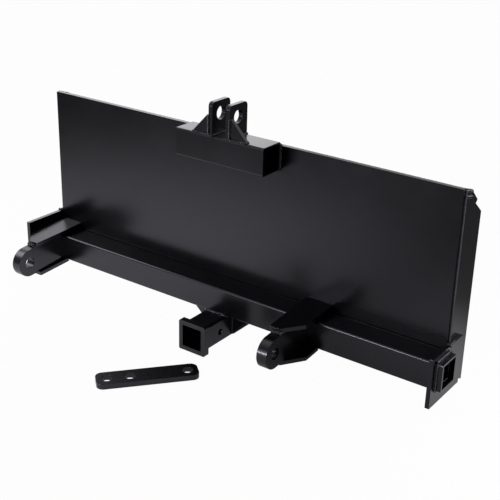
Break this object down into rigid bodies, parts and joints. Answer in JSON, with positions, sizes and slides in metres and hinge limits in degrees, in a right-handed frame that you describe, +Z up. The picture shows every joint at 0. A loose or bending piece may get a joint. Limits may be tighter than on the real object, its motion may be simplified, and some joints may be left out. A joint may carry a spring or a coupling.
{
  "type": "skid steer three point adapter",
  "caption": "welded steel adapter: tall back plate with hook lip and slotted ledge, cross tube, hitch lugs, top pin ears, receiver, loose link bar",
  "frame": {"origin": "centre of the footprint on the ground, under the receiver collar and the link bar", "axes": "+X along the cross tube to the side of the inboard arm's free end plate, +Y back from the hitch lugs to the hook lip, +Z up"},
  "size_m": [1.1926, 0.5112, 0.5833],
  "materials": {
    "back_plate": "satin black powder coat",
    "upper_hook_lip": "satin black powder coat",
    "lower_lock_ledge": "satin black powder coat",
    "left_side_gusset": "satin black powder coat",
    "right_side_gusset": "satin black powder coat",
    "cross_tube": "satin black powder coat",
    "left_end_plate": "satin black powder coat",
    "right_end_plate": "satin black powder coat",
    "left_arm_top_plate": "satin black powder coat",
    "left_arm_bottom_plate": "satin black powder coat",
    "left_hitch_lug": "satin black powder coat",
    "right_arm_top_plate": "satin black powder coat",
    "right_arm_bottom_plate": "satin black powder coat",
    "right_hitch_lug": "satin black powder coat",
    "top_box_tube": "satin black powder coat",
    "left_pin_ear": "satin black powder coat",
    "right_pin_ear": "satin black powder coat",
    "left_ear_rib": "satin black powder coat",
    "right_ear_rib": "satin black powder coat",
    "receiver_tube": "satin black powder coat",
    "receiver_collar": "satin black powder coat",
    "left_receiver_brace": "satin black powder coat",
    "right_receiver_brace": "satin black powder coat",
    "link_bar": "satin black powder coat"
  },
  "bodies": {
    "root": {"back_plate": "back_plate", "upper_hook_lip": "upper_hook_lip", "lower_lock_ledge": "lower_lock_ledge", "left_side_gusset": "left_side_gusset", "right_side_gusset": "right_side_gusset", "cross_tube": "cross_tube", "left_end_plate": "left_end_plate", "right_end_plate": "right_end_plate", "left_arm_top_plate": "left_arm_top_plate", "left_arm_bottom_plate": "left_arm_bottom_plate", "left_hitch_lug": "left_hitch_lug", "right_arm_top_plate": "right_arm_top_plate", "right_arm_bottom_plate": "right_arm_bottom_plate", "right_hitch_lug": "right_hitch_lug", "top_box_tube": "top_box_tube", "left_pin_ear": "left_pin_ear", "right_pin_ear": "right_pin_ear", "left_ear_rib": "left_ear_rib", "right_ear_rib": "right_ear_rib", "receiver_tube": "receiver_tube", "receiver_collar": "receiver_collar", "left_receiver_brace": "left_receiver_brace", "right_receiver_brace": "right_receiver_brace", "link_bar": "link_bar"}
  },
  "joints": []
}
